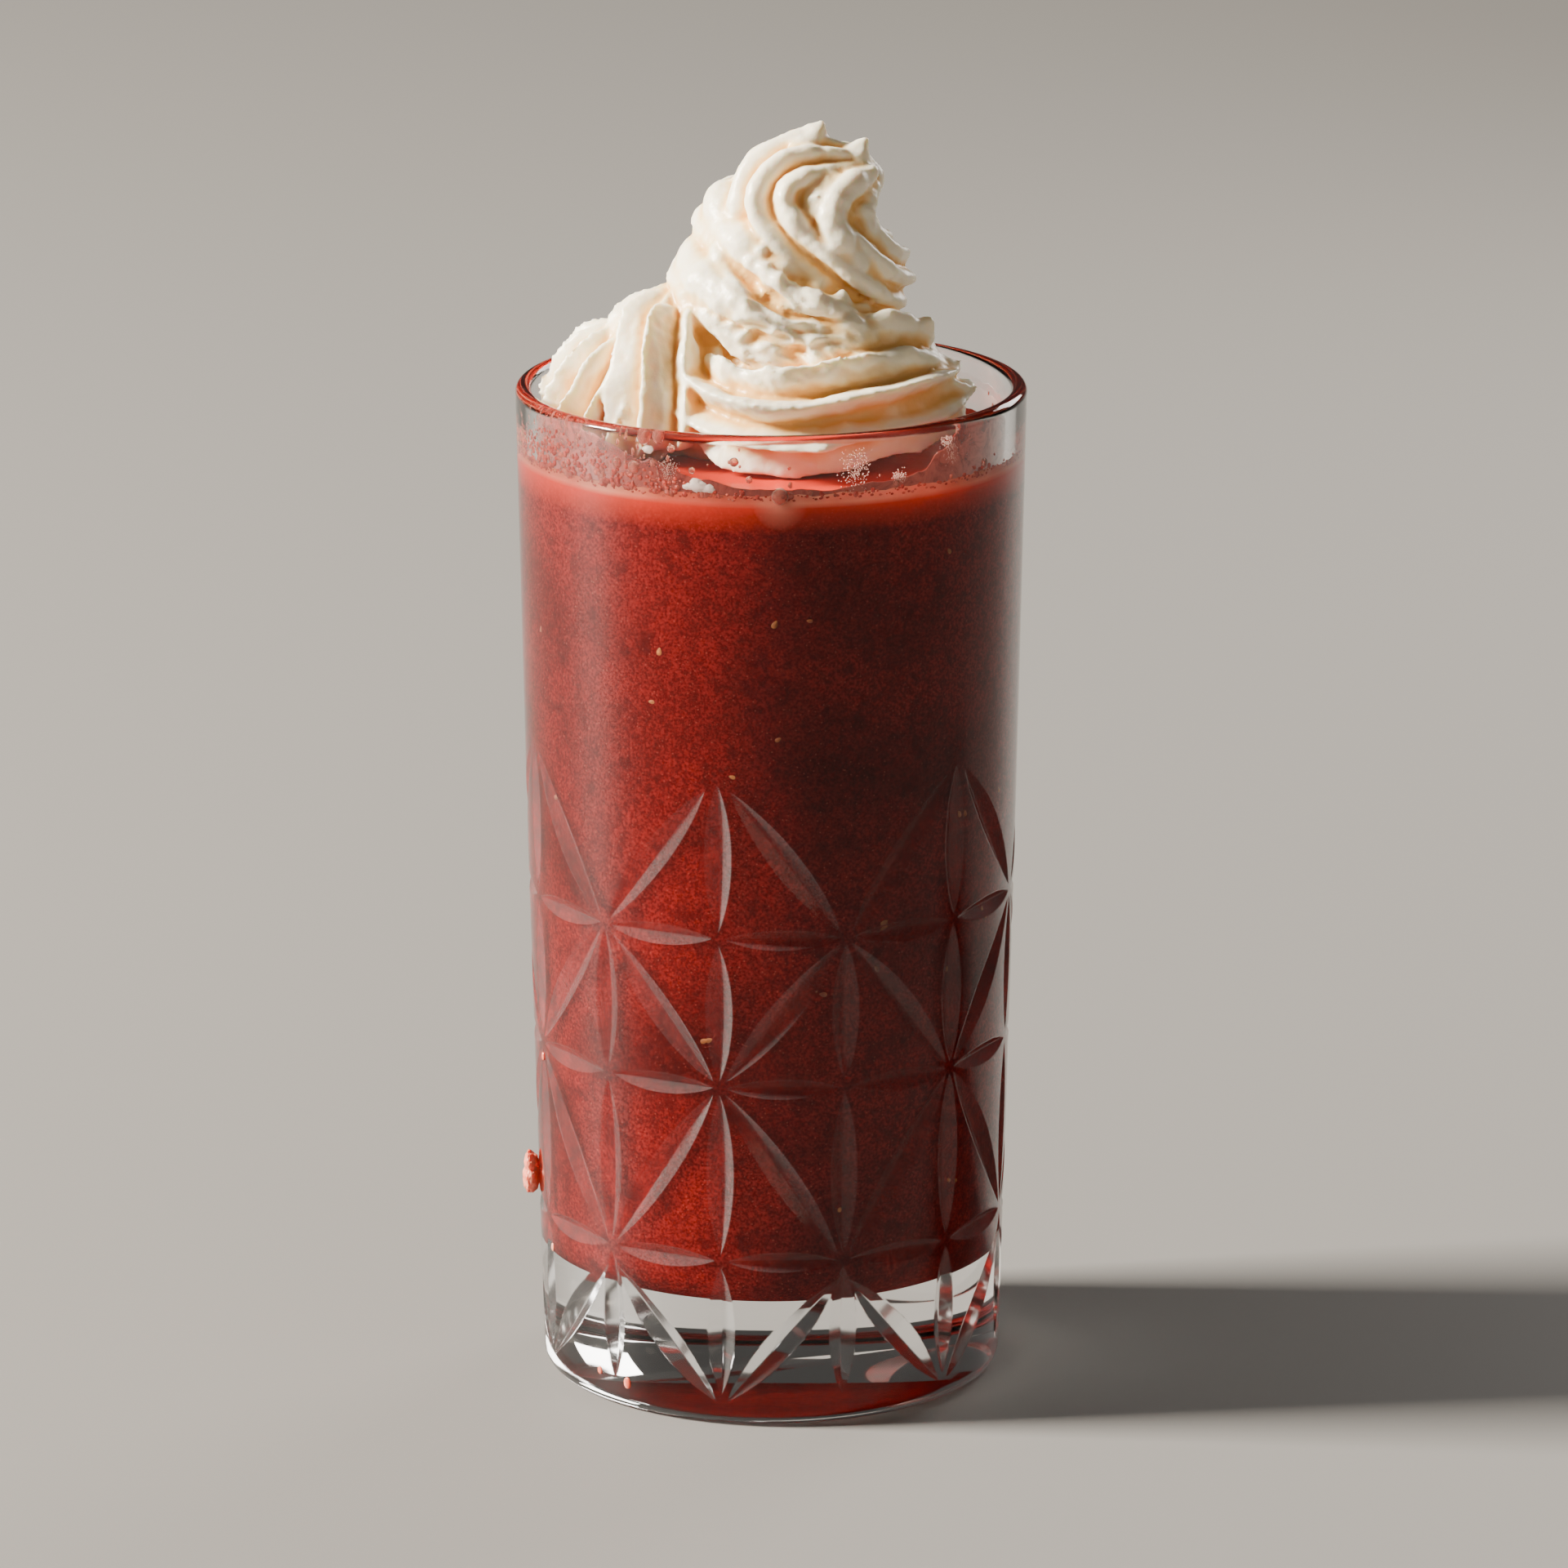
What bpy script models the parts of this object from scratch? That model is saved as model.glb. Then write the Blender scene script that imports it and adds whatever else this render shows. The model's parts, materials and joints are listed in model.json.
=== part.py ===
"""A strawberry smoothie with piped cream, in a tall cut glass.

The glass stands on the origin, +Z is up and the side that is looked at faces -Y. Lengths are in metres,
apart from the cream's stations, which are in millimetres.
"""

from math import cos, floor, hypot, pi, radians, sin

import bmesh
import bpy
from mathutils import Vector

MM = 0.001

# Glass: a pressed tumbler with a thick base and a wall that grows a little towards its foot
GLASS_HEIGHT = 0.152
RIM_RADIUS = 0.038
RIM_WALL = 0.0024
SHOULDER_HEIGHT = 0.080
SHOULDER_RADIUS = 0.0366
HEEL_RADIUS = 0.03465
HEEL_ROUND = 0.0026
FLOOR_HEIGHT = 0.0185
FLOOR_RADIUS = 0.0315
FLOOR_ROUND = 0.0050
TURN_STEPS = 60
CORNER_STEPS = 3
LIP_STEPS = 5

# Cut pattern: columns every 30 degrees, stars where the cuts meet
STAR_REPEATS = 6
FIRST_STAR_ANGLE = 47.7
HALF_COLUMN = 30.0
TIP_ROW = 0.0995
ROW_A = 0.0760
ROW_B = 0.0530
ROW_C = 0.0260
BASE_ROW = 0.0212
ROW_D = 0.0046
STAR_GAP = 3.2
STAR_DROP = 0.0022
UPRIGHT_WIDTH = 0.0041
LEVEL_WIDTH = 0.0032
SLANT_WIDTH = 0.0040
CUT_DEPTH = 0.0010
CUT_STATIONS = 3
CUT_FULLNESS = 0.8
CUTTER_STANDS_OUT = 0.0006
CUTTER_TIP_LIFT = 0.00002

# What fills the glass and stands on it
CLEARANCE = 0.0003
DRINK_LEVEL = 0.1420

# Scrap of fruit that has run down the outside
SCRAP_CENTRE = (-0.0368, 0.0, 0.0292)
SCRAP_RADII = (0.00108, 0.0026, 0.0034)
SCRAP_WOBBLE = 0.10


def material(name, colour, roughness, transmission=0.0):
    """A plain finish in the part's own colour."""
    finish = bpy.data.materials.new(name)
    finish.use_nodes = True
    shader = finish.node_tree.nodes["Principled BSDF"]
    shader.inputs["Base Color"].default_value = (*colour, 1.0)
    shader.inputs["Roughness"].default_value = roughness
    shader.inputs["Metallic"].default_value = 0.0
    shader.inputs["Transmission Weight"].default_value = transmission
    finish.diffuse_color = (*colour, 1.0)
    return finish


def add_object(name, mesh, collection, finish=None):
    """Put a mesh into a collection as a named object."""
    piece = bpy.data.objects.new(name, mesh)
    collection.objects.link(piece)
    if finish:
        mesh.materials.append(finish)
    return piece


def arc(centre_x, centre_z, radius, first, last, count):
    """Points of a rounded corner in the profile's plane, angles in degrees."""
    points = []
    for k in range(count + 1):
        angle = radians(first + (last - first) * k / count)
        points.append((centre_x + radius * cos(angle), centre_z + radius * sin(angle)))
    return points


def outer_radius(z):
    """Radius of the glass's uncut outside at a height."""
    if z > SHOULDER_HEIGHT:
        share = (z - SHOULDER_HEIGHT) / (GLASS_HEIGHT - SHOULDER_HEIGHT)
        return SHOULDER_RADIUS + (RIM_RADIUS - SHOULDER_RADIUS) * share
    share = (z - HEEL_ROUND) / (SHOULDER_HEIGHT - HEEL_ROUND)
    return HEEL_RADIUS + (SHOULDER_RADIUS - HEEL_RADIUS) * share


def inner_radius(z):
    """Radius of the glass's inside above the rounding of its floor."""
    share = (z - FLOOR_HEIGHT) / (GLASS_HEIGHT - FLOOR_HEIGHT)
    return FLOOR_RADIUS + (RIM_RADIUS - RIM_WALL - FLOOR_RADIUS) * share


def turned(name, profile, collection, finish, steps=TURN_STEPS):
    """A solid of revolution from a profile that runs down the outside."""
    mesh = bpy.data.meshes.new(name)
    points = [(x, 0.0, z) for x, z in profile]
    edges = [(k, k + 1) for k in range(len(points) - 1)]
    mesh.from_pydata(points, edges, [])
    piece = add_object(name, mesh, collection, finish)
    screw = piece.modifiers.new("turn", "SCREW")
    screw.axis = "Z"
    screw.angle = 2 * pi
    screw.steps = steps
    screw.render_steps = steps
    screw.use_merge_vertices = True
    screw.merge_threshold = 0.00001
    screw.use_smooth_shade = True
    return piece


def floor_corner(inset):
    """The rounding between the inside's floor and wall, drawn in by a clearance."""
    centre_z = FLOOR_HEIGHT + FLOOR_ROUND
    centre_x = inner_radius(centre_z) - FLOOR_ROUND
    return arc(centre_x, centre_z, FLOOR_ROUND - inset, -90, 0, CORNER_STEPS)


def glass_profile():
    """Inside floor, inside wall, rounded lip, outside wall, heel and foot."""
    lip = RIM_WALL / 2
    lip_height = GLASS_HEIGHT - lip
    inside = [(0.0, FLOOR_HEIGHT)] + floor_corner(0.0)
    rim = arc(RIM_RADIUS - lip, lip_height, lip, 180, 0, LIP_STEPS)
    outside = [(SHOULDER_RADIUS, SHOULDER_HEIGHT)]
    heel = arc(HEEL_RADIUS - HEEL_ROUND, HEEL_ROUND, HEEL_ROUND, 0, -90, CORNER_STEPS)
    return inside + rim + outside + heel + [(0.0, 0.0)]


def on_wall(angle, z, lift):
    """A point on the outside wall; angle 0 faces -Y and grows towards +X."""
    radius = outer_radius(z) + lift
    return Vector((radius * sin(angle), -radius * cos(angle), z))


def cut_shape(shape, first, last, width):
    """One pointed cut as a cutter, from one (angle, height) to another, following the wall."""
    (angle_a, z_a), (angle_b, z_b) = first, last
    middle = outer_radius((z_a + z_b) / 2)
    run = radians(angle_b - angle_a) * middle
    rise = z_b - z_a
    length = hypot(run, rise)
    rings = []
    for k in range(CUT_STATIONS + 2):
        share = k / (CUT_STATIONS + 1)
        angle = radians(angle_a + (angle_b - angle_a) * share)
        z = z_a + rise * share
        if k in (0, CUT_STATIONS + 1):
            rings.append([shape.verts.new(on_wall(angle, z, CUTTER_TIP_LIFT))])
            continue
        swell = sin(pi * share) ** CUT_FULLNESS
        deep = CUT_DEPTH * swell
        spread = width / 2 * swell * (1 + CUTTER_STANDS_OUT / deep)
        ring = []
        for side, lift in ((0.0, -deep), (spread, CUTTER_STANDS_OUT), (-spread, CUTTER_STANDS_OUT)):
            turned_by = -side * rise / length / middle
            ring.append(shape.verts.new(on_wall(angle + turned_by, z + side * run / length, lift)))
        rings.append(ring)
    for one, two in zip(rings, rings[1:]):
        if len(one) == 1 or len(two) == 1:
            tip, ring = (one, two) if len(one) == 1 else (two, one)
            for j in range(3):
                shape.faces.new((tip[0], ring[j], ring[(j + 1) % 3]))
            continue
        for j in range(3):
            m = (j + 1) % 3
            shape.faces.new((one[j], one[m], two[m], two[j]))


def star_cuts():
    """Every cut of the pattern as (start, end, width); a start or end is (degrees, height)."""
    cuts = []
    for repeat in range(STAR_REPEATS):
        odd = FIRST_STAR_ANGLE + 2 * HALF_COLUMN * repeat
        even = odd + HALF_COLUMN
        cuts.append(((odd, TIP_ROW), (odd, ROW_A + STAR_DROP), UPRIGHT_WIDTH))
        for column in (odd, even):
            for high, low in ((ROW_A, ROW_B), (ROW_B, ROW_C), (ROW_C, ROW_D)):
                cuts.append(((column, high - STAR_DROP), (column, low + STAR_DROP), UPRIGHT_WIDTH))
            for row in (ROW_A, ROW_B, ROW_C):
                cuts.append(((column + STAR_GAP, row), (column + HALF_COLUMN - STAR_GAP, row), LEVEL_WIDTH))
        for way in (-1, 1):
            here = odd + way * STAR_GAP
            beside = odd + way * (HALF_COLUMN - STAR_GAP)
            cuts.append(((here, TIP_ROW - STAR_DROP / 2), (beside, ROW_A + STAR_DROP), SLANT_WIDTH))
            cuts.append(((beside, ROW_A - STAR_DROP), (here, ROW_B + STAR_DROP), SLANT_WIDTH))
            cuts.append(((here, ROW_B - STAR_DROP), (beside, ROW_C + STAR_DROP), SLANT_WIDTH))
            cuts.append(((beside, BASE_ROW), (here, ROW_D), SLANT_WIDTH))
    return cuts


def build_glass(collection, cutters):
    """The turned tumbler with its pattern cut out of the wall."""
    glass = turned("glass", glass_profile(), collection, material("clear glass", (0.93, 0.95, 0.95), 0.03, 1.0))
    shape = bmesh.new()
    for first, last, width in star_cuts():
        cut_shape(shape, first, last, width)
    bmesh.ops.recalc_face_normals(shape, faces=shape.faces)
    mesh = bpy.data.meshes.new("star_cuts")
    shape.to_mesh(mesh)
    shape.free()
    cutter = add_object("star_cuts", mesh, cutters)
    cutter.hide_render = True
    cutter.display_type = "WIRE"
    cut = glass.modifiers.new("cuts", "BOOLEAN")
    cut.operation = "DIFFERENCE"
    cut.solver = "EXACT"
    cut.object = cutter
    return glass


def build_smoothie(collection):
    """The drink, solid up to its level and clear of the glass by a hair."""
    top_radius = inner_radius(DRINK_LEVEL) - CLEARANCE
    corner = list(reversed(floor_corner(CLEARANCE)))
    profile = [(0.0, DRINK_LEVEL), (top_radius, DRINK_LEVEL)] + corner + [(0.0, FLOOR_HEIGHT + CLEARANCE)]
    return turned("smoothie", profile, collection, material("strawberry smoothie", (0.55, 0.10, 0.09), 0.4))


def build_scrap(collection):
    """A small lump of fruit pulp on the outside of the glass."""
    shape = bmesh.new()
    bmesh.ops.create_uvsphere(shape, u_segments=12, v_segments=8, radius=1.0)
    for corner in shape.verts:
        wobble = 1 + SCRAP_WOBBLE * sin(3 * corner.co.z + 5 * corner.co.y)
        corner.co = Vector(
            centre + radius * wobble * way for centre, radius, way in zip(SCRAP_CENTRE, SCRAP_RADII, corner.co)
        )
    mesh = bpy.data.meshes.new("fruit_scrap")
    shape.to_mesh(mesh)
    shape.free()
    mesh.shade_smooth()
    return add_object("fruit_scrap", mesh, collection, material("fruit pulp", (0.60, 0.12, 0.08), 0.3))


# Piped cream: each rope is a list of stations (x, y, z, radius) in millimetres, from its free end.
# ridges and groove are the star nozzle's, turn sets where they start and tip pulls their ends forward.
CREAM_BASE = 0.1423
POINTS_TO_A_RIDGE = 4
RINGS_BETWEEN = 3
VALLEY_SHARPNESS = 1.2
END_SHARE = 0.55
END_GROWTH = 0.9
TIP_REACH = 0.8
TIP_FADE = 1.5
LOOK_AHEAD = 0.05
CREAM_ROPES = {
    "curl": {
        "ridges": 8, "groove": 0.34, "turn": 0.05, "tip": 2.0,
        "stations": [
            (16.0, -2.5, 184.2, 3.8), (12.6, -2.5, 184.8, 5.0), (8.4, -2.5, 184.4, 6.8), (4.4, -2.8, 182.8, 9.0),
            (4.1, -3.4, 179.4, 9.7), (6.2, -4.4, 175.8, 9.5), (9.8, -5.2, 172.4, 8.9), (13.0, -4.0, 169.2, 7.8),
            (14.2, 1.0, 167.8, 7.4), (11.0, 6.5, 167.0, 7.5), (4.0, 8.5, 167.0, 7.5),
        ],
    },
    "pulled tip": {
        "ridges": 2, "groove": 0.1, "turn": 0.1, "tip": 0.0,
        "stations": [(5.4, -2.2, 186.2, 4.4), (6.6, -2.2, 189.2, 2.8), (7.6, -2.2, 191.4, 1.0)],
    },
    "low tip": {
        "ridges": 2, "groove": 0.1, "turn": 0.1, "tip": 0.0,
        "stations": [(12.0, -3.2, 185.4, 3.6), (13.2, -3.2, 187.4, 2.2), (14.2, -3.2, 189.2, 0.9)],
    },
    "second turn": {
        "ridges": 6, "groove": 0.28, "turn": 0.2, "tip": 0.0,
        "stations": [
            (3.0, 6.0, 172.5, 6.5), (-2.4, 2.0, 173.6, 7.0), (-5.0, -5.0, 168.0, 7.8), (-1.0, -10.5, 163.0, 8.0),
            (8.0, -9.5, 160.0, 7.6), (13.5, -1.0, 159.0, 7.6), (9.0, 9.0, 158.5, 8.5), (-2.0, 12.5, 159.5, 8.5),
            (-11.0, 5.0, 161.0, 8.0),
        ],
    },
    "left bulge": {
        "ridges": 3, "groove": 0.15, "turn": 0.1, "tip": 0.0,
        "stations": [
            (-3.0, 8.0, 177.0, 4.0), (-5.2, 3.0, 176.4, 5.8), (-5.2, -3.0, 174.8, 6.0), (-1.0, -9.5, 170.5, 5.0),
        ],
    },
    "low bulge": {
        "ridges": 3, "groove": 0.15, "turn": 0.3, "tip": 0.0,
        "stations": [
            (-8.0, 4.0, 169.0, 4.6), (-9.2, -1.5, 168.6, 5.6), (-8.2, -7.5, 167.0, 5.8), (-3.0, -13.0, 164.0, 5.0),
        ],
    },
    "front turn": {
        "ridges": 8, "groove": 0.34, "turn": 0.1, "tip": 2.4,
        "stations": [
            (25.6, -6.0, 154.0, 6.6), (20.0, -10.5, 152.6, 8.8), (12.0, -15.4, 151.4, 9.8), (1.0, -18.4, 150.4, 9.8),
            (-8.0, -16.0, 152.0, 9.0), (-14.0, -8.0, 155.0, 8.0),
        ],
    },
    "back turn": {
        "ridges": 7, "groove": 0.26, "turn": 0.0, "tip": 0.0,
        "stations": [
            (20.0, -1.0, 149.5, 8.0), (18.0, 7.0, 150.5, 8.4), (9.0, 13.5, 150.5, 8.6), (-4.0, 15.0, 150.5, 8.6),
            (-14.0, 10.0, 151.0, 8.6), (-19.0, 3.0, 151.0, 8.0),
        ],
    },
    "left heap": {
        "ridges": 12, "groove": 0.22, "turn": 0.1, "tip": 0.0,
        "stations": [
            (-21.8, -3.0, 140.0, 12.6), (-21.8, -3.0, 147.0, 13.0), (-21.4, -3.0, 152.0, 12.4),
            (-20.5, -3.0, 157.0, 9.8), (-19.0, -3.0, 161.0, 4.5),
        ],
    },
    "upper heap": {
        "ridges": 8, "groove": 0.24, "turn": 0.4, "tip": 0.0,
        "stations": [
            (-15.5, -8.0, 144.0, 10.0), (-15.5, -8.0, 152.0, 10.6), (-15.8, -6.5, 158.0, 9.4),
            (-15.0, -4.0, 163.0, 7.6), (-13.6, -3.0, 167.6, 2.5),
        ],
    },
}
CREAM_CORES = ((0.0, 0.0, 148.0, 20.0, 17.0, 11.0), (1.0, 1.0, 164.0, 9.0, 8.0, 11.0))


def smooth_station(stations, place):
    """Centre and radius on a smooth curve through the stations."""
    last = len(stations) - 1
    first = min(int(floor(place)), last - 1)
    share = place - first
    near = [stations[min(max(k, 0), last)] for k in range(first - 1, first + 3)]
    values = []
    for a, b, c, d in zip(*near):
        bend = (2 * a - 5 * b + 4 * c - d) * share ** 2 + (3 * b - a - 3 * c + d) * share ** 3
        values.append(0.5 * (2 * b + (c - a) * share + bend))
    return Vector(values[:3]) * MM, values[3] * MM


def cream_rope(stations, ridges, groove, turn, tip):
    """A closed rope of cream with the star nozzle's ridges along it."""
    shape = bmesh.new()
    around = ridges * POINTS_TO_A_RIDGE
    last_station = len(stations) - 1
    last = last_station * RINGS_BETWEEN
    rings = []
    side = None
    for k in range(last + 1):
        place = k / RINGS_BETWEEN
        centre, radius = smooth_station(stations, place)
        ahead, _ = smooth_station(stations, min(place + LOOK_AHEAD, last_station))
        behind, _ = smooth_station(stations, max(place - LOOK_AHEAD, 0))
        along = (ahead - behind).normalized()
        if side is None:
            side = along.cross(Vector((0, 0, 1))) if abs(along.z) < 0.9 else along.cross(Vector((0, 1, 0)))
        side = (side - along * side.dot(along)).normalized()
        rise = side.cross(along)
        from_end = min(k, last - k) / RINGS_BETWEEN
        rounding = min(1.0, END_SHARE + END_GROWTH * from_end)
        forward = tip * MM * max(0.0, 1 - place / TIP_REACH) ** TIP_FADE
        ring = []
        for j in range(around):
            angle = 2 * pi * j / around
            valley = abs(sin(ridges * (angle + turn) / 2)) ** VALLEY_SHARPNESS
            reach = radius * rounding * (1 - groove * valley)
            point = centre + side * (reach * cos(angle)) + rise * (reach * sin(angle))
            ring.append(shape.verts.new(point - along * ((1 - valley) * forward)))
        rings.append(ring)
    for one, two in zip(rings, rings[1:]):
        for j in range(around):
            m = (j + 1) % around
            shape.faces.new((one[j], one[m], two[m], two[j]))
    shape.faces.new(reversed(rings[0]))
    shape.faces.new(rings[-1])
    bmesh.ops.recalc_face_normals(shape, faces=shape.faces)
    return shape


def core_shape(centre, radii):
    """A plain rounded body that fills the middle of the swirl."""
    shape = bmesh.new()
    bmesh.ops.create_uvsphere(shape, u_segments=16, v_segments=10, radius=1.0)
    for corner in shape.verts:
        corner.co = Vector(place + radius * way for place, radius, way in zip(centre, radii, corner.co)) * MM
    return shape


def mesh_object(name, shape, collection):
    """Turn a bmesh into an object."""
    mesh = bpy.data.meshes.new(name)
    shape.to_mesh(mesh)
    shape.free()
    return add_object(name, mesh, collection)


def boolean(piece, operation, operand):
    """Join or cut with closed meshes, applied at once; the operands are removed."""
    join = piece.modifiers.new(operation.lower(), "BOOLEAN")
    join.operation = operation
    join.solver = "MANIFOLD"
    join.operand_type = "COLLECTION"
    join.collection = operand
    graph = bpy.context.evaluated_depsgraph_get()
    result = bpy.data.meshes.new_from_object(piece.evaluated_get(graph))
    piece.modifiers.clear()
    piece.data = result
    for used in list(operand.objects):
        bpy.data.objects.remove(used)
    bpy.data.collections.remove(operand)


def keep_largest(mesh):
    """Drop the loose scraps and sealed hollows that the join leaves."""
    shape = bmesh.new()
    shape.from_mesh(mesh)
    shape.verts.ensure_lookup_table()
    left = set(shape.verts)
    bodies = []
    while left:
        body = []
        queue = [left.pop()]
        while queue:
            corner = queue.pop()
            body.append(corner)
            for edge in corner.link_edges:
                other = edge.other_vert(corner)
                if other in left:
                    left.discard(other)
                    queue.append(other)
        bodies.append(body)
    bodies.sort(key=len)
    for body in bodies[:-1]:
        bmesh.ops.delete(shape, geom=body, context="VERTS")
    bmesh.ops.triangulate(shape, faces=shape.faces)
    shape.to_mesh(mesh)
    shape.free()


def build_cream(collection):
    """Ropes of piped cream joined into one body with a flat foot on the drink."""
    strands = bpy.data.collections.new("cream strands")
    bpy.context.scene.collection.children.link(strands)
    pieces = []
    for name, rope in CREAM_ROPES.items():
        pieces.append(mesh_object(name, cream_rope(**rope), strands))
    for number, values in enumerate(CREAM_CORES):
        pieces.append(mesh_object(f"core {number}", core_shape(values[:3], values[3:]), strands))
    cream = pieces[0]
    strands.objects.unlink(cream)
    collection.objects.link(cream)
    boolean(cream, "UNION", strands)
    below = bpy.data.collections.new("below the cream")
    bpy.context.scene.collection.children.link(below)
    block = bmesh.new()
    block_side = 3 * RIM_RADIUS
    bmesh.ops.create_cube(block, size=block_side)
    bmesh.ops.translate(block, verts=block.verts, vec=(0.0, 0.0, CREAM_BASE - block_side / 2))
    mesh_object("block", block, below)
    boolean(cream, "DIFFERENCE", below)
    keep_largest(cream.data)
    cream.name = "cream"
    cream.data.name = "cream"
    cream.data.materials.clear()
    cream.data.materials.append(material("whipped cream", (0.90, 0.84, 0.70), 0.45))
    cream.data.shade_smooth()
    cream.data.set_sharp_from_angle(angle=radians(50))
    return cream


def clear_scene():
    """Start from an empty scene."""
    for thing in list(bpy.data.objects):
        bpy.data.objects.remove(thing)


def build():
    """Make the drink, its glass and its cream."""
    clear_scene()
    smoothie = bpy.data.collections.new("strawberry smoothie")
    cutters = bpy.data.collections.new("cutters")
    bpy.context.scene.collection.children.link(smoothie)
    bpy.context.scene.collection.children.link(cutters)
    build_glass(smoothie, cutters)
    build_smoothie(smoothie)
    build_cream(smoothie)
    build_scrap(smoothie)


build()
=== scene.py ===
"""A strawberry smoothie with piped cream in a star-cut glass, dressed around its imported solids."""

import json
from math import cos, degrees, exp, floor, hypot, pi, radians, sin, sqrt
from random import Random

import bmesh
import bpy
import numpy as np
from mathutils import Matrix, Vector, noise

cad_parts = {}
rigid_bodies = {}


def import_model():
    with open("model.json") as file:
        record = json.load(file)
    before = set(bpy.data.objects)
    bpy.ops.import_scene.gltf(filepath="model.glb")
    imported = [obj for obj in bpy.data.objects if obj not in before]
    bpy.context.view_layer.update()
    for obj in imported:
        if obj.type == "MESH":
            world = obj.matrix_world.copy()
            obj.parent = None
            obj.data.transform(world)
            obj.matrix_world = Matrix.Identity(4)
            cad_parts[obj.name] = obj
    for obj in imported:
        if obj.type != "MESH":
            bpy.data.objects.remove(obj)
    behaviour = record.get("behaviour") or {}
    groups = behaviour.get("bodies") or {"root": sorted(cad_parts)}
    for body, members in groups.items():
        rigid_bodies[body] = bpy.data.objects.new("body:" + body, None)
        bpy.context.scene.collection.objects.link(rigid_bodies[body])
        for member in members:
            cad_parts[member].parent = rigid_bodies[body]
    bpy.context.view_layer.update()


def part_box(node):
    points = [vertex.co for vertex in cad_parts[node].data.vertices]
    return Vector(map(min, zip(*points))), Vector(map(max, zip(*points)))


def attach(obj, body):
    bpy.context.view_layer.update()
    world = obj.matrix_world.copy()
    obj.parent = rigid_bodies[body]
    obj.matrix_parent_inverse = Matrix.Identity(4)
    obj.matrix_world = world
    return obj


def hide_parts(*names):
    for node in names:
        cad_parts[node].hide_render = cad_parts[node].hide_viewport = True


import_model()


# Camera
# A long lens a little above the drink and tilted down to it. The drink stands just left of the
# middle of the picture, with some room on every side.
downward_tilt = 14.87
camera_data = bpy.data.cameras.new("camera")
camera_data.sensor_width = 36.0
camera_data.lens = 199.5
camera = bpy.data.objects.new("camera", camera_data)
camera.location = (0.0019, -1.262, 0.4252)
camera.rotation_euler = (radians(90 - downward_tilt), 0.0, 0.0)
bpy.context.scene.collection.objects.link(camera)
bpy.context.scene.camera = camera


# Glass
# A pressed tumbler of clear glass with a thick base, turned from one profile. Pointed cuts that meet
# in stars are ground into its wall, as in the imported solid. Each is a V with two smooth sides.
glass_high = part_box("glass")[1]
glass_height = glass_high[2]
rim_radius = glass_high[0]
rim_wall = 0.0024
shoulder_height = 0.080
shoulder_radius = 0.0366
heel_radius = 0.03465
heel_round = 0.0026
floor_height = 0.0185
floor_radius = 0.0315
floor_round = 0.0050
punt_radius = 0.0300
punt_height = 0.0030
glass_steps = 256
corner_steps, lip_steps, wall_steps, heel_steps, punt_steps = 10, 12, 6, 8, 12
merge_distance = 0.000001


def outer_radius(z):
    """Radius of the uncut outside at a height."""
    if z > shoulder_height:
        share = (z - shoulder_height) / (glass_height - shoulder_height)
        return shoulder_radius + (rim_radius - shoulder_radius) * share
    share = (z - heel_round) / (shoulder_height - heel_round)
    return heel_radius + (shoulder_radius - heel_radius) * share


def inner_radius(z):
    """Radius of the inside above the rounding of the floor."""
    share = (z - floor_height) / (glass_height - floor_height)
    return floor_radius + (rim_radius - rim_wall - floor_radius) * share


def arc(centre_x, centre_z, radius, first, last, count):
    """Points of a rounded corner, angles in degrees."""
    points = []
    for k in range(count + 1):
        angle = radians(first + (last - first) * k / count)
        points.append((centre_x + radius * cos(angle), centre_z + radius * sin(angle)))
    return points


def finished(name, shape, finish):
    """Turn a bmesh into a shown piece that rides on the body of the drink."""
    mesh = bpy.data.meshes.new(name)
    shape.to_mesh(mesh)
    shape.free()
    mesh.shade_smooth()
    mesh.materials.append(finish)
    piece = bpy.data.objects.new(name, mesh)
    bpy.context.scene.collection.objects.link(piece)
    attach(piece, "root")
    return piece


def spun(profile, steps):
    """A bmesh turned from a profile about the axis of the glass."""
    shape = bmesh.new()
    corners = [shape.verts.new((x, 0.0, z)) for x, z in profile]
    for one, two in zip(corners, corners[1:]):
        shape.edges.new((one, two))
    geometry = shape.verts[:] + shape.edges[:]
    axis = {"cent": (0, 0, 0), "axis": (0, 0, 1), "dvec": (0, 0, 0)}
    bmesh.ops.spin(shape, geom=geometry, angle=2 * pi, steps=steps, use_merge=True, **axis)
    bmesh.ops.remove_doubles(shape, verts=shape.verts, dist=merge_distance)
    bmesh.ops.recalc_face_normals(shape, faces=shape.faces)
    return shape


def floor_corner(inset, count):
    """The rounding between the inside's floor and wall, drawn in by an inset."""
    centre_z = floor_height + floor_round
    centre_x = inner_radius(centre_z) - floor_round
    return arc(centre_x, centre_z, floor_round - inset, -90, 0, count)


def straight(first, last, count):
    """Points between two others, without the first."""
    points = []
    for k in range(1, count + 1):
        share = k / count
        points.append(tuple(a + (b - a) * share for a, b in zip(first, last)))
    return points


lip = rim_wall / 2
inside = [(0.0, floor_height)] + floor_corner(0.0, corner_steps)
rim = arc(rim_radius - lip, glass_height - lip, lip, 180, 0, lip_steps)
shoulder = straight(rim[-1], (shoulder_radius, shoulder_height), wall_steps)
heel = arc(heel_radius - heel_round, heel_round, heel_round, 0, -90, heel_steps)
punt = []
for k in range(punt_steps + 1):
    reach = 1 - k / punt_steps
    punt.append((punt_radius * reach, punt_height * (1 - reach * reach)))
glass_shape = spun(inside + rim + shoulder + heel + punt, glass_steps)

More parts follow.
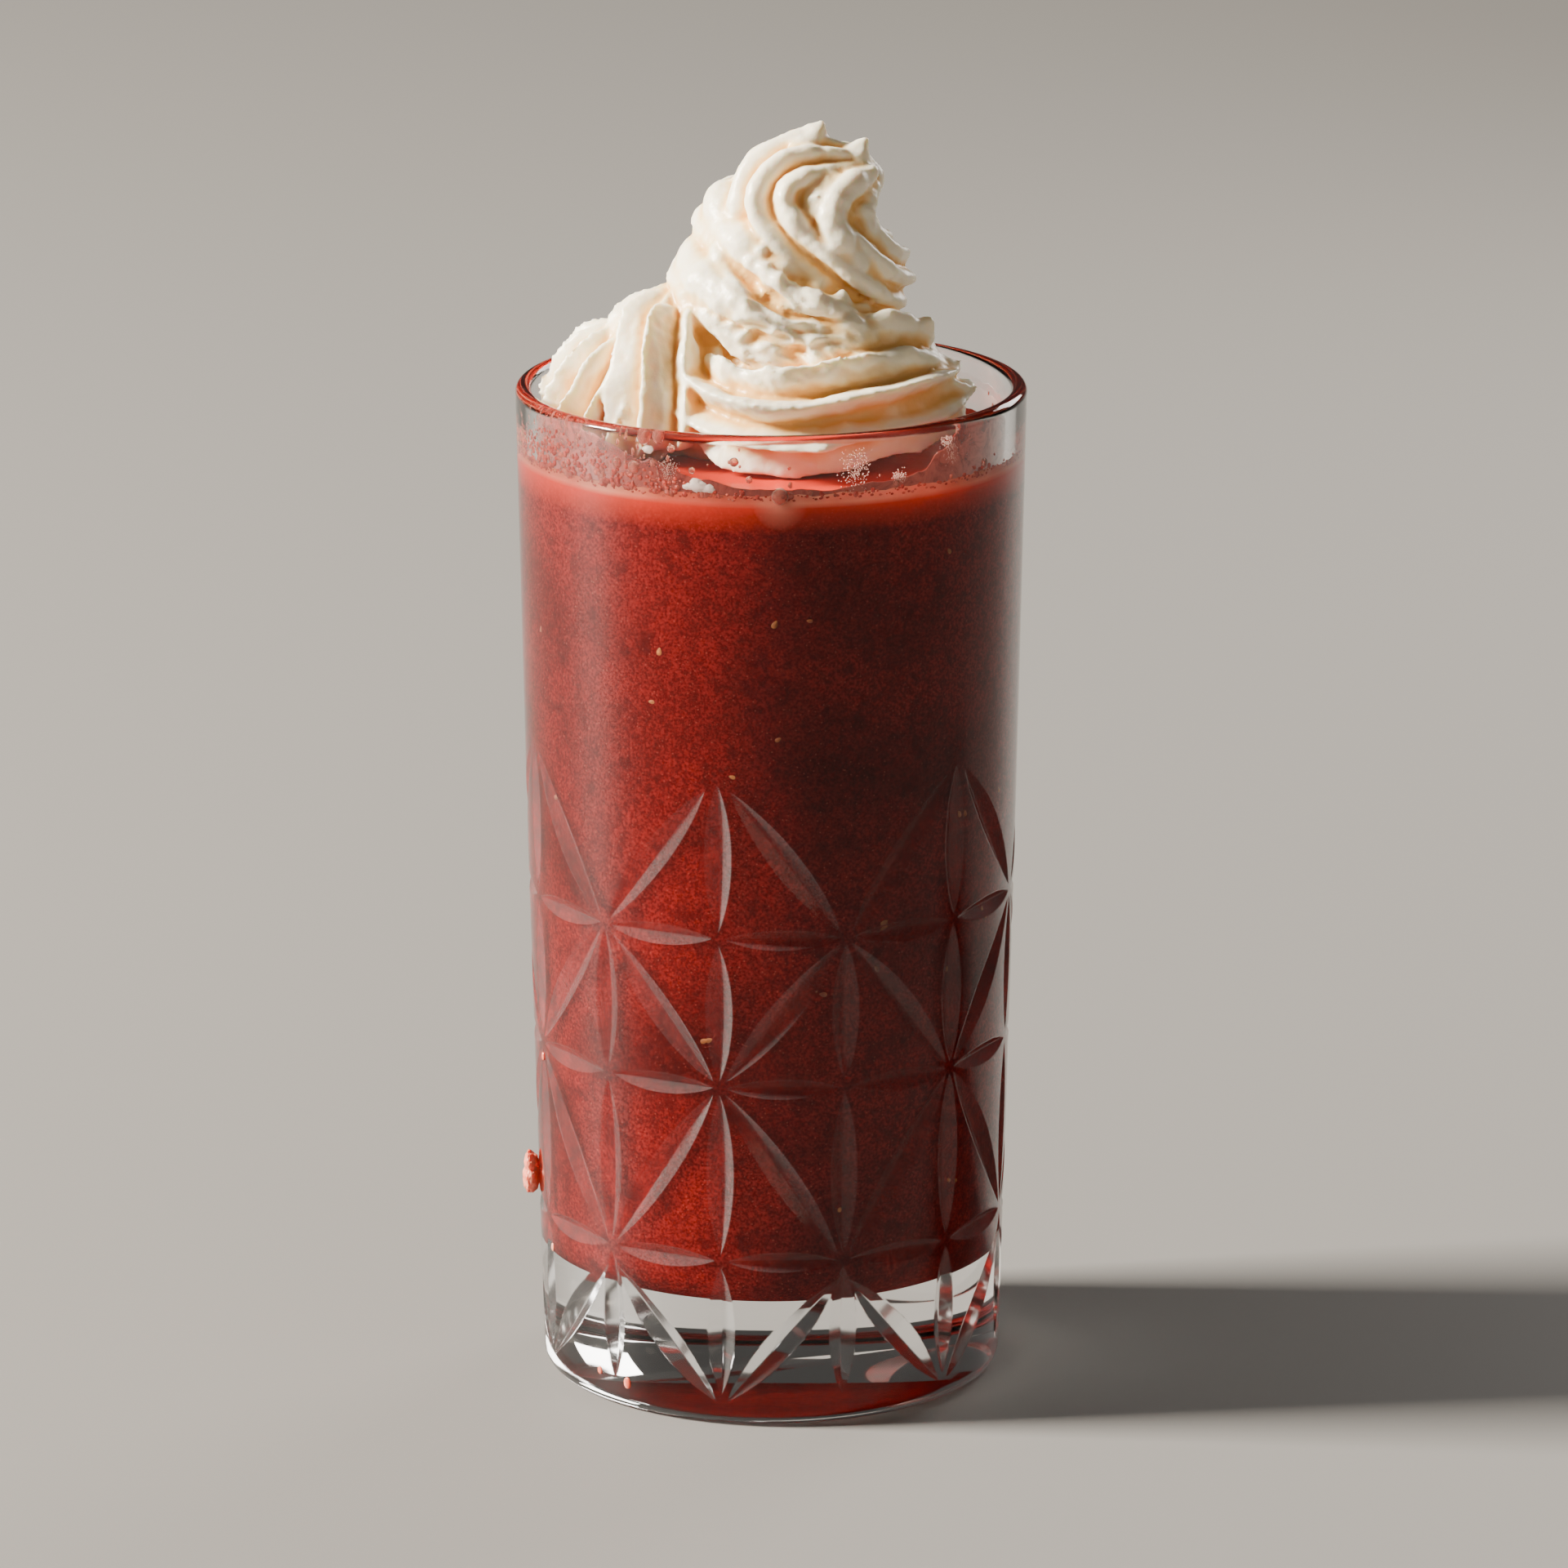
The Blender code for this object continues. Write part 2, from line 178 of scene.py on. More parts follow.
star_repeats = 6
half_column = 30.0
first_star_angle = 47.7
tip_row, row_a, row_b, row_c, base_row, row_d = 0.0995, 0.0760, 0.0530, 0.0260, 0.0228, 0.0040
star_gap = 1.5
star_drop = 0.0010
cut_depth = 0.00125
cut_fullness = 0.85
cut_steps = 26
cutter_stands_out = 0.35
cutter_tip_lift = 0.00001
no_swell = 0.0001
upright_width, level_width, slant_width = 0.0041, 0.0032, 0.0042


def star_cuts():
    """Every cut of the pattern as (start, end, width); a start or end is (angle, height)."""
    cuts = []
    for repeat in range(star_repeats):
        odd = first_star_angle + 2 * half_column * repeat
        even = odd + half_column
        cuts.append(((odd, tip_row), (odd, row_a + star_drop), upright_width))
        for column in (odd, even):
            for high, low in ((row_a, row_b), (row_b, row_c), (row_c, row_d)):
                cuts.append(((column, high - star_drop), (column, low + star_drop), upright_width))
            for row in (row_a, row_b, row_c):
                cuts.append(((column + star_gap, row), (column + half_column - star_gap, row), level_width))
        for way in (-1, 1):
            here = odd + way * star_gap
            beside = odd + way * (half_column - star_gap)
            at_tip = here + way * star_gap
            cuts.append(((at_tip, tip_row - star_drop), (beside, row_a + star_drop), slant_width))
            cuts.append(((beside, row_a - star_drop), (here, row_b + star_drop), slant_width))
            cuts.append(((here, row_b - star_drop), (beside, row_c + star_drop), slant_width))
            cuts.append(((beside, base_row), (here, row_d), slant_width))
    return cuts


def grind(first, last, width):
    """A grinding body with a pointed V section, bent along the wall from first to last."""
    (angle_a, z_a), (angle_b, z_b) = first, last
    middle = outer_radius((z_a + z_b) / 2)
    run = radians(angle_b - angle_a) * middle
    rise = z_b - z_a
    length = hypot(run, rise)
    body = bmesh.new()
    bmesh.ops.create_uvsphere(body, u_segments=4, v_segments=cut_steps, radius=1.0)
    for corner in body.verts:
        along = max(-1.0, min(1.0, corner.co.z))
        swell = (1 - along * along) ** cut_fullness
        across, out = 0.0, cutter_tip_lift
        if swell > no_swell and abs(corner.co.x) > abs(corner.co.y):
            across = (1 if corner.co.x > 0 else -1) * width / 2 * (1 + cutter_stands_out) * swell
            out = cut_depth * cutter_stands_out * swell
        elif swell > no_swell:
            out = cut_depth * swell * (1 if corner.co.y > 0 else -1)
        place = (along + 1) / 2
        angle = radians(angle_a + (angle_b - angle_a) * place) - across * rise / length / middle
        z = z_a + rise * place + across * run / length
        radius = outer_radius(z) + out
        corner.co = Vector((radius * sin(angle), -radius * cos(angle), z))
    if body.calc_volume(signed=True) < 0:
        bmesh.ops.reverse_faces(body, faces=body.faces)
    return body


def settled(piece):
    """Apply the modifiers of a piece for good; returns its new mesh."""
    graph = bpy.context.evaluated_depsgraph_get()
    mesh = bpy.data.meshes.new_from_object(piece.evaluated_get(graph))
    piece.modifiers.clear()
    piece.data = mesh
    return mesh


cutters = bpy.data.collections.new("grinding bodies")
bpy.context.scene.collection.children.link(cutters)
for first, last, width in star_cuts():
    cutter_shape = grind(first, last, width)
    cutter_mesh = bpy.data.meshes.new("grinding body")
    cutter_shape.to_mesh(cutter_mesh)
    cutter_shape.free()
    cutters.objects.link(bpy.data.objects.new("grinding_body", cutter_mesh))


def new_material(name):
    """A material with only its Principled shader and output; returns it with its node tree and shader."""
    finish = bpy.data.materials.new(name)
    finish.use_nodes = True
    return finish, finish.node_tree, finish.node_tree.nodes["Principled BSDF"]


def texture(tree, kind, scale, **sockets):
    """A texture node on Object coordinates; scale counts its cells in a metre."""
    node = tree.nodes.new(kind)
    coordinates = tree.nodes.get("Texture Coordinate") or tree.nodes.new("ShaderNodeTexCoord")
    tree.links.new(coordinates.outputs["Object"], node.inputs["Vector"])
    node.inputs["Scale"].default_value = scale
    for socket, value in sockets.items():
        node.inputs[socket].default_value = value
    return node


def new_group(name, inlets, outlets):
    """A shader node group with number inlets, and outlets of (name, kind), and its two end nodes."""
    group = bpy.data.node_groups.new(name, "ShaderNodeTree")
    for inlet in inlets:
        group.interface.new_socket(inlet, in_out="INPUT", socket_type="NodeSocketFloat")
    for outlet, kind in outlets:
        group.interface.new_socket(outlet, in_out="OUTPUT", socket_type=kind)
    return group, group.nodes.new("NodeGroupInput"), group.nodes.new("NodeGroupOutput")


def placed(tree, group, **values):
    """A node group placed in a material with its own values."""
    node = tree.nodes.new("ShaderNodeGroup")
    node.node_tree = group
    for socket, value in values.items():
        node.inputs[socket].default_value = value
    return node


smear_low, smear_high, smear_roughness = 0.45, 0.75, 0.05
edge_rounding = 0.00035
wave_height = 0.001
pressed_outlets = (("Roughness", "NodeSocketFloat"), ("Normal", "NodeSocketVector"))
pressed_glass, inlets, outlets = new_group("pressed glass", ("Roughness", "Waviness"), pressed_outlets)
smears = texture(pressed_glass, "ShaderNodeTexNoise", 60.0, Detail=4.0)
smeared = pressed_glass.nodes.new("ShaderNodeMapRange")
for socket, value in (("From Min", smear_low), ("From Max", smear_high), ("To Max", smear_roughness)):
    smeared.inputs[socket].default_value = value
pressed_glass.links.new(smears.outputs["Fac"], smeared.inputs["Value"])
rougher = pressed_glass.nodes.new("ShaderNodeMath")
pressed_glass.links.new(inlets.outputs["Roughness"], rougher.inputs[0])
pressed_glass.links.new(smeared.outputs["Result"], rougher.inputs[1])
pressed_glass.links.new(rougher.outputs["Value"], outlets.inputs["Roughness"])
waves = texture(pressed_glass, "ShaderNodeTexNoise", 45.0, Detail=1.0)
rounded = pressed_glass.nodes.new("ShaderNodeBevel")
rounded.samples = 6
rounded.inputs["Radius"].default_value = edge_rounding
wavy = pressed_glass.nodes.new("ShaderNodeBump")
wavy.inputs["Distance"].default_value = wave_height
pressed_glass.links.new(inlets.outputs["Waviness"], wavy.inputs["Strength"])
pressed_glass.links.new(waves.outputs["Fac"], wavy.inputs["Height"])
pressed_glass.links.new(rounded.outputs["Normal"], wavy.inputs["Normal"])
pressed_glass.links.new(wavy.outputs["Normal"], outlets.inputs["Normal"])


glass_tint = (0.985, 0.992, 0.99, 1.0)
glass_index = 1.52
dimmed_mirror = (0.4, 0.4, 0.4, 1.0)


def glass_finish(name, transmission, roughness, waviness):
    """Clear glass with slightly rounded edges, whose mirror is dimmed so that it doesn't veil the drink."""
    finish, tree, shader = new_material(name)
    shader.inputs["Base Color"].default_value = glass_tint
    shader.inputs["Transmission Weight"].default_value = transmission
    shader.inputs["IOR"].default_value = glass_index
    shader.inputs["Specular Tint"].default_value = dimmed_mirror
    surface = placed(tree, pressed_glass, Roughness=roughness, Waviness=waviness)
    tree.links.new(surface.outputs["Roughness"], shader.inputs["Roughness"])
    tree.links.new(surface.outputs["Normal"], shader.inputs["Normal"])
    return finish


clear_glass = glass_finish("clear glass", 1.0, 0.0, 0.05)
ground_glass = glass_finish("ground glass", 0.97, 0.10, 0.15)

glass = finished("tumbler", glass_shape, clear_glass)
cuts = glass.modifiers.new("cuts", "BOOLEAN")
cuts.operation = "DIFFERENCE"
cuts.solver = "MANIFOLD"
cuts.operand_type = "COLLECTION"
cuts.collection = cutters
cut_mesh = settled(glass)
for cutter in list(cutters.objects):
    bpy.data.objects.remove(cutter)
bpy.data.collections.remove(cutters)
cut_mesh.materials.clear()
cut_mesh.materials.append(clear_glass)
cut_mesh.materials.append(ground_glass)

sharp_turn = radians(20)
inside_margin = 0.0008
uncut_tolerance = 0.000008


def on_outside(place):
    """Whether a place is on the outside of the wall, between the heel and the lip."""
    reach = hypot(place.x, place.y)
    return heel_round < place.z < glass_height - lip and reach > inner_radius(place.z) + inside_margin


def true_normals(mesh):
    """Shade the plain wall as an exact turned cone; give the cuts ground sides and sharp edges."""
    shape = bmesh.new()
    shape.from_mesh(mesh)
    plain = []
    for face in shape.faces:
        centre = face.calc_center_median()
        outside = on_outside(centre)
        plain.append(outside and outer_radius(centre.z) - hypot(centre.x, centre.y) < uncut_tolerance)
        face.smooth = True
        face.material_index = 1 if outside and not plain[-1] else 0
    for edge in shape.edges:
        kinds = {plain[face.index] for face in edge.link_faces}
        turns = len(kinds) == 2 or edge.calc_face_angle(0.0) > sharp_turn
        edge.smooth = not (turns and on_outside(edge.verts[0].co))
    shape.to_mesh(mesh)
    shape.free()
    normals = [Vector(corner.vector) for corner in mesh.corner_normals]
    slope = (rim_radius - heel_radius) / glass_height
    for face in mesh.polygons:
        if not plain[face.index]:
            continue
        for loop in face.loop_indices:
            place = mesh.vertices[mesh.loops[loop].vertex_index].co
            normals[loop] = Vector((place.x, place.y, -slope * hypot(place.x, place.y))).normalized()
    mesh.normals_split_custom_set(normals)


true_normals(cut_mesh)
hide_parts("glass")


# Smoothie
# Blended strawberries and milk, opaque and frothy: deep red pulp between fine pink bubbles. It fills
# the glass and wets its wall, so it reaches a hair into the glass and creeps up it at the edge.
drink_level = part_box("smoothie")[1][2]
wetting = 0.00015
creep_height = 0.0009
creep_width = 0.0016
creep_curve = ((0.45, 0.2), (0.12, 0.65))
drink_steps = 224
drink_rings, drink_rows = 14, 40
broad_ripple, fine_ripple = 0.00028, 0.00012
edge_ripple = 1.6
surface_margin = 0.0001


def drink_wall(z):
    """Radius of the drink's side, just inside the glass."""
    return inner_radius(z) + wetting


edge_radius = drink_wall(drink_level)
creep_top = drink_level + creep_height
flat_radius = edge_radius - creep_width
top_profile = [(0.0, drink_level)] + straight((0.0, drink_level), (flat_radius, drink_level), drink_rings)
for inwards, up in creep_curve:
    top_profile.append((edge_radius - creep_width * inwards, drink_level + creep_height * up))
top_profile.append((drink_wall(creep_top), creep_top))
side_profile = straight(top_profile[-1], floor_corner(-wetting, 1)[-1], drink_rows)
foot_profile = list(reversed(floor_corner(-wetting, corner_steps)))[1:] + [(0.0, floor_height - wetting)]
drink_shape = spun(top_profile + side_profile + foot_profile, drink_steps)
for corner in drink_shape.verts:
    if corner.co.z > drink_level - surface_margin:
        reach = hypot(corner.co.x, corner.co.y)
        ripple = noise.noise(corner.co * 260) * broad_ripple + noise.noise(corner.co * 900) * fine_ripple
        corner.co.z += ripple * (1.0 if reach < flat_radius else edge_ripple)


def ramp(tree, source, *stops):
    """A colour ramp with stops of (place, colour)."""
    node = tree.nodes.new("ShaderNodeValToRGB")
    while len(node.color_ramp.elements) < len(stops):
        node.color_ramp.elements.new(0.5)
    for element, (place, colour) in zip(node.color_ramp.elements, stops):
        element.position = place
        element.color = (*colour, 1.0) if isinstance(colour, tuple) else (colour, colour, colour, 1.0)
    tree.links.new(source, node.inputs["Fac"])
    return node.outputs["Color"]


def mixed(tree, factor, one, two, blend="MIX"):
    """Two colours mixed by a factor; any of the three may be a socket or a value."""
    node = tree.nodes.new("ShaderNodeMix")
    node.data_type = "RGBA"
    node.blend_type = blend
    for socket, value in ((node.inputs[0], factor), (node.inputs[6], one), (node.inputs[7], two)):
        if isinstance(value, bpy.types.NodeSocket):
            tree.links.new(value, socket)
        elif isinstance(value, tuple):
            socket.default_value = (*value, 1.0)
        else:
            socket.default_value = value
    return node.outputs[2]


fade_outlets = (("Fade", "NodeSocketFloat"),)
height_fade, inlets, outlets = new_group("height fade", ("Low", "High", "Most"), fade_outlets)
coordinates = height_fade.nodes.new("ShaderNodeTexCoord")
parts = height_fade.nodes.new("ShaderNodeSeparateXYZ")
fade = height_fade.nodes.new("ShaderNodeMapRange")
height_fade.links.new(coordinates.outputs["Object"], parts.inputs["Vector"])
height_fade.links.new(parts.outputs["Z"], fade.inputs["Value"])
for inlet, socket in (("Low", "From Min"), ("High", "From Max"), ("Most", "To Max")):
    height_fade.links.new(inlets.outputs[inlet], fade.inputs[socket])
height_fade.links.new(fade.outputs["Result"], outlets.inputs["Fade"])


def height_mask(tree, low, high, most):
    """A factor that grows from 0 at one height of the piece to most at another."""
    return placed(tree, height_fade, Low=low, High=high, Most=most).outputs["Fade"]


def around_axis(radius, angle, z):
    """A point at a radius from the axis, angle in degrees from the front towards the right."""
    return Vector((radius * sin(radians(angle)), -radius * cos(radians(angle)), z))


def let_light_in(shader, weight, reach, scale):
    """Let a share of the light sink in; each colour goes as far as its reach times the scale."""
    shader.inputs["Subsurface Weight"].default_value = weight
    shader.inputs["Subsurface Radius"].default_value = reach
    shader.inputs["Subsurface Scale"].default_value = scale


def distance_to(tree, place):
    """How far the surface is from a place on the object, in metres."""
    coordinates = tree.nodes.get("Texture Coordinate") or tree.nodes.new("ShaderNodeTexCoord")
    node = tree.nodes.new("ShaderNodeVectorMath")
    node.operation = "DISTANCE"
    node.inputs[1].default_value = place
    tree.links.new(coordinates.outputs["Object"], node.inputs[0])
    return node.outputs["Value"]


drink_finish, tree, shader = new_material("strawberry smoothie")
froth = texture(tree, "ShaderNodeTexNoise", 2300.0, Detail=3.0, Roughness=0.6)
fibres = texture(tree, "ShaderNodeTexNoise", 620.0, Detail=5.0, Roughness=0.6, Distortion=0.3)
pulp = texture(tree, "ShaderNodeTexNoise", 260.0, Detail=5.0, Roughness=0.65, Distortion=0.15)
clouds = texture(tree, "ShaderNodeTexNoise", 34.0, Detail=3.0, Roughness=0.55, Distortion=0.4)
specks = texture(tree, "ShaderNodeTexVoronoi", 330.0, Randomness=1.0)
fine_bubbles = texture(tree, "ShaderNodeTexVoronoi", 1150.0, Randomness=1.0)
pink = (0.29, 0.013, 0.010)
rose = (0.14, 0.0015, 0.001)
red = (0.085, 0.001, 0.001)
deep_red = (0.045, 0.001, 0.001)
bubble_pink = (0.60, 0.12, 0.08)
painted_glow_red = (0.74, 0.040, 0.014)
edge_pink = (0.84, 0.28, 0.18)
bubble_glow_pink = (0.78, 0.26, 0.18)
glow_band_foot, glow_band_top, glow_band_strength = 0.1370, 0.1408, 0.7
edge_foot, edge_top, edge_strength = 0.1409, 0.1417, 0.9
bubble_glow_angle, bubble_glow_height = 2.1, 0.1415
base = ramp(tree, froth.outputs["Fac"], (0.40, rose), (0.60, pink))
base = mixed(tree, ramp(tree, fibres.outputs["Fac"], (0.46, 0.0), (0.70, 0.6)), base, red)
base = mixed(tree, ramp(tree, pulp.outputs["Fac"], (0.53, 0.0), (0.64, 0.65)), base, red)
base = mixed(tree, ramp(tree, clouds.outputs["Fac"], (0.46, 0.0), (0.66, 0.6)), base, deep_red)
base = mixed(tree, ramp(tree, specks.outputs["Distance"], (0.06, 0.6), (0.24, 0.0)), base, red)
bubbled = ramp(tree, fine_bubbles.outputs["Distance"], (0.06, 0.35), (0.16, 0.0))
base = mixed(tree, bubbled, base, bubble_pink)
# Painted light: a brighter, more orange red band in the top few millimetres of the drink's side, as if
# light shone through it there.
base = mixed(tree, height_mask(tree, glow_band_foot, glow_band_top, glow_band_strength), base, painted_glow_red)
uneven_edge = ramp(tree, clouds.outputs["Fac"], (0.40, 0.35), (0.60, 1.0))
from_middle = distance_to(tree, Vector((0, 0, drink_level)))
near_wall = ramp(tree, from_middle, (edge_radius - 0.0030, 0.0), (edge_radius - 0.0006, 1.0))
edge = mixed(tree, 1.0, height_mask(tree, edge_foot, edge_top, edge_strength), uneven_edge, "MULTIPLY")
edge = mixed(tree, 1.0, edge, near_wall, "MULTIPLY")
base = mixed(tree, edge, base, edge_pink)
# A painted glow: a pale pink patch on the drink just under the large bubble on the glass.
bubble_glow_place = around_axis(edge_radius, bubble_glow_angle, bubble_glow_height)
bubble_glow = ramp(tree, distance_to(tree, bubble_glow_place), (0.0004, 0.8), (0.0018, 0.0))
base = mixed(tree, bubble_glow, base, bubble_glow_pink)
tree.links.new(base, shader.inputs["Base Color"])
shader.inputs["Roughness"].default_value = 0.4
shader.inputs["Specular IOR Level"].default_value = 0.0
shader.inputs["Coat Roughness"].default_value = 0.2
wet_depth, wet_coat = 0.0004, 0.5
wet_top = height_mask(tree, drink_level - wet_depth, drink_level, wet_coat)
tree.links.new(wet_top, shader.inputs["Coat Weight"])
let_light_in(shader, 0.3, (1.0, 0.12, 0.06), 0.0015)
drink = finished("strawberry_drink", drink_shape, drink_finish)
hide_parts("smoothie")


# Froth
# Bubbles of the drink that cling to the inside of the glass: a fine line all round its edge, a thick
# foam at the left and a little at the right, left behind when the level sank. Each is pressed flat.
bubble_draw = Random(41)
line_beads, foam_beads = 420, 560
line_sizes, foam_sizes = (0.00015, 0.00038), (0.00015, 0.00050)
line_heights = (0.0001, 0.0010)
line_thickness, foam_flatness = 0.00018, 0.5
bead_sinks = 0.00005
foam_foot = 0.0006
left_foam, right_foam = (-56, 30, 0.0058), (62, 20, 0.0016)
least_foam, patchy_foam = 0.0005, 0.0006


def inside_point(angle, z, inset):
    """A point on the inside of the glass, moved inwards by an inset."""
    return around_axis(inner_radius(z) - inset, angle, z)


bead_mesh = bpy.data.meshes.new("one bead")


def press_on(shape, centre, size, thickness, stretch=1.0, rough=0.0, fineness=2):
    """A drop pressed on the wall: centre and size in metres, stretched upwards, with a rough edge.
    Its number of faces grows with the fineness."""
    outwards = Vector((centre.x, centre.y, 0.0)).normalized()
    around = Vector((-outwards.y, outwards.x, 0.0))
    bead = bmesh.new()
    bmesh.ops.create_uvsphere(bead, u_segments=4 * fineness, v_segments=3 * fineness, radius=1.0)
    for corner in bead.verts:
        way = corner.co.copy()
        swell = 1 + rough * noise.noise(way * 1.3 + centre * 900)
        swell += 0.5 * rough * noise.noise(way * 3.1 + centre * 700)
        upwards = Vector((0, 0, way.z * size * stretch * swell))
        corner.co = centre + around * (way.x * size * swell) + upwards
        corner.co += outwards * (way.y * thickness)
    bead.to_mesh(bead_mesh)
    bead.free()
    shape.from_mesh(bead_mesh)


def hump(place, middle, width, height):
    """A smooth hump about a middle, as high as its height."""
    return exp(-((place - middle) / width) ** 2) * height


def foam_depth(angle):
    """How far foam stands above the drink's edge at an angle, in metres."""
    way = radians(angle)
    patches = patchy_foam * max(0.0, noise.noise(Vector((cos(way) * 2.2, sin(way) * 2.2, 4.0))) + 0.2)
    return least_foam + hump(angle, *left_foam) + hump(angle, *right_foam) + patches


froth_shape = bmesh.new()
for k in range(line_beads):
    angle = k * 360 / line_beads + bubble_draw.uniform(-0.4, 0.4)
    size = bubble_draw.uniform(*line_sizes)
    centre = inside_point(angle, drink_level + bubble_draw.uniform(*line_heights), -bead_sinks)
    press_on(froth_shape, centre, size, line_thickness, stretch=0.7, rough=0.1)
for k in range(foam_beads):
    angle = bubble_draw.gauss(-54, 20) if k % 4 else bubble_draw.uniform(-180, 180)
    climb = bubble_draw.random() ** 1.6
    size = bubble_draw.uniform(*foam_sizes) * (1.1 - 0.4 * climb)
    centre = inside_point(angle, drink_level + foam_foot + foam_depth(angle) * climb, -bead_sinks)
    stretch = bubble_draw.uniform(0.8, 1.1)
    press_on(froth_shape, centre, size, size * foam_flatness, stretch, rough=0.1)

froth_finish, tree, shader = new_material("pink froth")
tint = texture(tree, "ShaderNodeTexNoise", 420.0, Detail=3.0)
froth_stops = ((0.36, (0.36, 0.024, 0.014)), (0.52, (0.46, 0.055, 0.034)), (0.70, (0.62, 0.14, 0.095)))
tree.links.new(ramp(tree, tint.outputs["Fac"], *froth_stops), shader.inputs["Base Color"])
shader.inputs["Roughness"].default_value = 0.22
let_light_in(shader, 0.5, (1.0, 0.4, 0.3), 0.0008)
froth_piece = finished("froth", froth_shape, froth_finish)


# Film and drops
# A thin pink film of drink that the glass keeps where the level has sunk, thick at the left and thin
# at the right, with round bubbles and drops on it.
film_shape = bmesh.new()
film_steps, film_rows = 300, 14
film_thickness, film_inset = 0.00006, 0.00004
film_low, film_high = 0.1440, 0.1474
film_over_foam = 1.25
right_wetting = (58, 17, 0.0060)
broad_rag, fine_rag = 0.0014, 0.0008
full_rag_depth = 0.0025
rim_margin = 0.0016
made = bmesh.ops.create_grid(film_shape, x_segments=film_steps, y_segments=film_rows, size=1.0)["verts"]
for corner in made:
    angle = corner.co.x * 180
    climb = (corner.co.y + 1) / 2
    way = radians(angle)
    ragged = noise.noise(Vector((sin(way) * 6, cos(way) * 6, 2.0))) * broad_rag
    ragged += noise.noise(Vector((sin(way) * 19, cos(way) * 19, 5.0))) * fine_rag
    wetted = foam_depth(angle) * film_over_foam + hump(angle, *right_wetting)
    ragged *= min(1.0, wetted / full_rag_depth)
    top = min(drink_level + creep_height + wetted + ragged, glass_height - rim_margin)
    z = drink_level + (top - drink_level) * climb
    corner.co = inside_point(angle, z, film_inset)
bmesh.ops.remove_doubles(film_shape, verts=film_shape.verts, dist=merge_distance)
bmesh.ops.recalc_face_normals(film_shape, faces=film_shape.faces)
film_finish, tree, shader = new_material("pink film")
streaks = texture(tree, "ShaderNodeTexNoise", 330.0, Detail=5.0, Roughness=0.7, Distortion=1.2)
film_stops = ((0.36, (0.29, 0.017, 0.010)), (0.60, (0.45, 0.060, 0.034)))
tree.links.new(ramp(tree, streaks.outputs["Fac"], *film_stops), shader.inputs["Base Color"])
shader.inputs["Roughness"].default_value = 0.3
dense = ramp(tree, streaks.outputs["Fac"], (0.30, 0.6), (0.45, 1.0))
sparse = ramp(tree, streaks.outputs["Fac"], (0.34, 0.40), (0.54, 0.96))
cover = mixed(tree, height_mask(tree, film_low, film_high, 1.0), dense, sparse)
tree.links.new(cover, shader.inputs["Alpha"])
film = finished("pink_film", film_shape, film_finish)
thin = film.modifiers.new("thin", "SOLIDIFY")
thin.thickness = film_thickness
thin.offset = 0.0

drop_shape = bmesh.new()
small_drops = 190
drop_sizes, drop_heights = (0.00010, 0.00034), (0.1440, 0.1508)
drop_inset, drop_flatness = 0.00002, 0.55
bubble_inset, bubble_flatness = 0.0001, 0.7
bubble_places = [
    (-30.5, 0.1504, 0.00105), (-26.6, 0.1506, 0.00085), (-23.5, 0.1492, 0.0006), (-38.0, 0.1462, 0.0009),
    (-33.2, 0.1458, 0.0010), (-44.0, 0.1472, 0.0007), (-28.0, 0.1468, 0.0006), (-18.5, 0.1462, 0.0005),
    (-50.0, 0.1490, 0.0006), (-8.5, 0.1478, 0.0007), (-5.0, 0.1452, 0.0005), (2.1, 0.1427, 0.0013),
    (4.6, 0.1428, 0.0006), (9.0, 0.1432, 0.0005), (30.0, 0.1436, 0.0006), (58.0, 0.1440, 0.0008),
]
for angle, z, size in bubble_places:
    centre = inside_point(angle, z, bubble_inset)
    press_on(drop_shape, centre, size, size * bubble_flatness, rough=0.08, fineness=3)
for k in range(small_drops):
    angle = bubble_draw.gauss(-60, 18) if k % 5 else bubble_draw.uniform(-180, 180)
    size = bubble_draw.uniform(*drop_sizes)
    centre = inside_point(angle, bubble_draw.uniform(*drop_heights), drop_inset)
    press_on(drop_shape, centre, size, size * drop_flatness, bubble_draw.uniform(0.9, 2.2), rough=0.15)


def bump(tree, shader, height, strength, distance):
    """Feed a height into the shader's normal."""
    node = tree.nodes.new("ShaderNodeBump")
    node.inputs["Strength"].default_value = strength
    node.inputs["Distance"].default_value = distance
    tree.links.new(height, node.inputs["Height"])
    tree.links.new(node.outputs["Normal"], shader.inputs["Normal"])


drop_finish, tree, shader = new_material("pink drops")
shader.inputs["Base Color"].default_value = (0.90, 0.36, 0.28, 1.0)
shader.inputs["Roughness"].default_value = 0.06
shader.inputs["IOR"].default_value = 1.34
shader.inputs["Transmission Weight"].default_value = 0.75
cloudy = texture(tree, "ShaderNodeTexNoise", 700.0, Detail=2.0)
bump(tree, shader, cloudy.outputs["Fac"], 0.2, 0.0001)
drops = finished("bubbles_and_drops", drop_shape, drop_finish)


